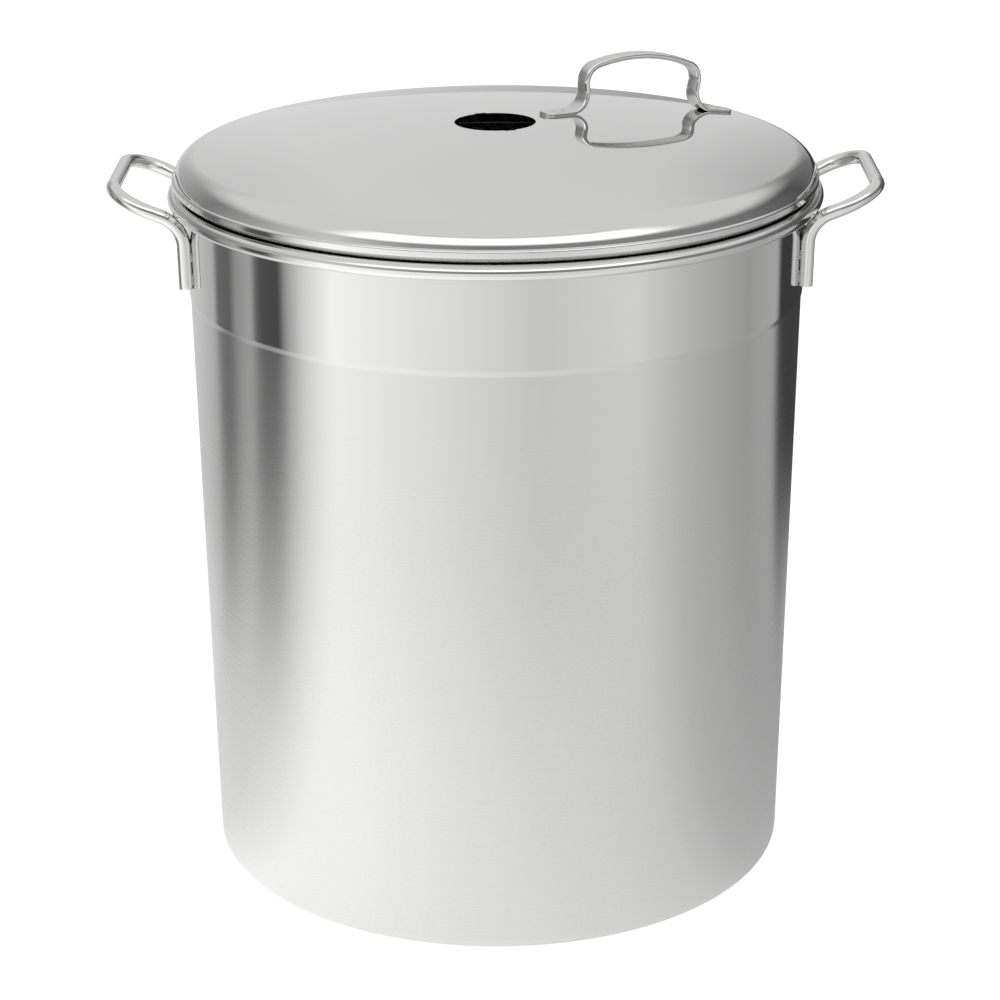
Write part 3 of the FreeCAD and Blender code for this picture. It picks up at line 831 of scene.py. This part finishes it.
def make_floor():
    """A large pale floor. What the steel mirrors of it fades to the studio's sides."""
    reach = FLOOR_REACH
    mesh = bpy.data.meshes.new("studio_floor")
    low = -FLOOR_DROP
    mesh.from_pydata([(-reach, -reach, low), (reach, -reach, low), (reach, reach, low),
                      (-reach, reach, low)], [], [(0, 1, 2, 3)])
    floor = bpy.data.objects.new("studio_floor", mesh)
    bpy.context.scene.collection.objects.link(floor)
    material = bpy.data.materials.new("studio_floor")
    material.use_nodes = True
    tree = material.node_tree
    tree.nodes.clear()
    place = node(tree, "ShaderNodeTexCoord").outputs["Object"]
    split = node(tree, "ShaderNodeSeparateXYZ")
    tree.links.new(place, split.inputs[0])
    x, y = split.outputs[0], split.outputs[1]
    turn = maths(tree, "MULTIPLY_ADD", maths(tree, "ARCTAN2", y, x), 0.5 / math.pi, 0.5)
    away = maths(tree, "SQRT", maths(tree, "ADD", maths(tree, "MULTIPLY", x, x),
                                     maths(tree, "MULTIPLY", y, y)))
    far = ramp(tree, maths(tree, "DIVIDE", away, FLOOR_FADE_REACH), FLOOR_FADE, "EASE")
    near_level = ramp(tree, turn, around_stops(FLOOR_NEAR))
    far_level = ramp(tree, turn, around_stops(FLOOR_FAR))
    level = node(tree, "ShaderNodeMix", data_type="FLOAT")
    tree.links.new(far, level.inputs[0])
    tree.links.new(near_level, level.inputs[2])
    tree.links.new(far_level, level.inputs[3])
    mirrored = node(tree, "ShaderNodeEmission")
    tree.links.new(maths(tree, "MULTIPLY", level.outputs[0], LEVEL_TOP),
                   mirrored.inputs["Strength"])
    paint = node(tree, "ShaderNodeBsdfDiffuse", in_0=(*FLOOR_PAINT, 1.0))
    glow = node(tree, "ShaderNodeEmission", in_1=FLOOR_GLOW)
    seen = node(tree, "ShaderNodeAddShader")
    joined(tree, seen, paint.outputs[0], glow.outputs[0])
    choice = node(tree, "ShaderNodeMixShader")
    ray = node(tree, "ShaderNodeLightPath")
    joined(tree, choice, ray.outputs["Is Camera Ray"], mirrored.outputs[0], seen.outputs[0])
    out = node(tree, "ShaderNodeOutputMaterial")
    tree.links.new(choice.outputs[0], out.inputs[0])
    mesh.materials.append(material)


# Brightness of the studio round the pot, by direction in degrees from +X towards +Y;
# the front is -90. Near is the lit floor round the pot, far the floor's dim sides.
LEVEL_TOP = 2.0
FLOOR_NEAR = [(-180, 0.95), (-150, 1.34), (-125, 1.26), (-100, 1.12), (-75, 1.0),
              (-42, 0.85), (-20, 0.62), (10, 0.50), (40, 0.45), (80, 0.8), (120, 0.95),
              (150, 0.85), (180, 0.95)]
FLOOR_FAR = [(-180, 0.10), (-171, 0.08), (-168, 0.40), (-160, 0.85), (-148, 1.25),
             (-125, 1.10), (-100, 0.95), (-75, 0.78), (-42, 0.88), (-20, 0.62),
             (10, 0.42), (20, 0.48), (30, 0.5), (34, 0.05), (75, 0.05), (95, 0.7),
             (115, 0.7), (135, 0.65), (148, 0.55), (152, 0.18), (161, 0.15),
             (165, 0.36), (174, 0.48), (177, 0.18), (180, 0.10)]
SKY_LOW = [(-180, 0.55), (-150, 0.9), (-120, 0.45), (-90, 0.28), (-50, 0.35), (-20, 0.3),
           (10, 0.25), (45, 0.12), (70, 0.25), (83, 0.88), (97, 0.95), (115, 0.6),
           (150, 0.3), (180, 0.55)]


CEILING = 0.48
# In front, by rise from the horizon (0) to straight up (1): dark, the softbox, the ceiling.
FRONT_BY_RISE = [(0.0, 0.14), (0.29, 0.16), (0.36, 0.95), (0.60, 0.95), (0.66, 0.42),
                 (0.72, 0.49), (1.0, 0.49)]


def around_stops(levels):
    return [((angle + 180.0) / 360.0, level / LEVEL_TOP) for angle, level in levels]


def make_world():
    """Soft studio light: a dim ring at eye level, a bright softbox above it in front,
    and a pale ceiling and back."""
    world = bpy.data.worlds.new("studio")
    bpy.context.scene.world = world
    world.use_nodes = True
    tree = world.node_tree
    tree.nodes.clear()
    way = node(tree, "ShaderNodeTexCoord").outputs["Generated"]
    split = node(tree, "ShaderNodeSeparateXYZ")
    tree.links.new(way, split.inputs[0])
    x, y, z = split.outputs
    turn = maths(tree, "MULTIPLY_ADD", maths(tree, "ARCTAN2", y, x), 0.5 / math.pi, 0.5)
    rise = maths(tree, "DIVIDE", maths(tree, "ARCSINE", z), math.pi / 2.0)
    low = ramp(tree, turn, around_stops(SKY_LOW))
    front = ramp(tree, rise, FRONT_BY_RISE)
    front_share = ramp(tree, turn, [(0.04, 0.0), (0.12, 1.0), (0.40, 1.0), (0.48, 0.0)],
                       "EASE")
    upper = node(tree, "ShaderNodeMix", data_type="FLOAT")
    tree.links.new(front_share, upper.inputs[0])
    upper.inputs[2].default_value = CEILING
    tree.links.new(front, upper.inputs[3])
    climb = ramp(tree, rise, [(0.22, 0.0), (0.42, 1.0)], "EASE")
    level = node(tree, "ShaderNodeMix", data_type="FLOAT")
    tree.links.new(climb, level.inputs[0])
    tree.links.new(low, level.inputs[2])
    tree.links.new(upper.outputs[0], level.inputs[3])
    ray = node(tree, "ShaderNodeLightPath")
    strength = maths(tree, "MULTIPLY", level.outputs[0], LEVEL_TOP)
    shown = node(tree, "ShaderNodeMix", data_type="FLOAT")
    tree.links.new(ray.outputs["Is Camera Ray"], shown.inputs[0])
    tree.links.new(strength, shown.inputs[2])
    shown.inputs[3].default_value = 1.0
    light = node(tree, "ShaderNodeBackground")
    tree.links.new(shown.outputs[0], light.inputs["Strength"])
    out = node(tree, "ShaderNodeOutputWorld")
    tree.links.new(light.outputs[0], out.inputs[0])


CAMERA_PLACE = (0.0, -2.0706, 1.0175)         # metres
CAMERA_LOOKS_DOWN = 19.94                     # degrees
CAMERA_ROLL = -0.0052                         # radians
CAMERA_LENS = 104.69                          # millimetres, on a 36 mm sensor


def make_camera():
    """A long lens in front of the pot, looking down on its lid."""
    data = bpy.data.cameras.new("camera")
    camera = bpy.data.objects.new("camera", data)
    bpy.context.scene.collection.objects.link(camera)
    data.sensor_width = 36.0
    data.lens = CAMERA_LENS
    data.shift_x = 0.00294
    data.clip_end = 200.0
    tilt = Matrix.Rotation(math.radians(90.0 - CAMERA_LOOKS_DOWN), 4, "X")
    roll = Matrix.Rotation(CAMERA_ROLL, 4, "Z")
    camera.matrix_world = Matrix.Translation(CAMERA_PLACE) @ tilt @ roll
    bpy.context.scene.camera = camera


make_floor()
make_world()
make_camera()
bpy.context.scene.view_settings.view_transform = "Standard"
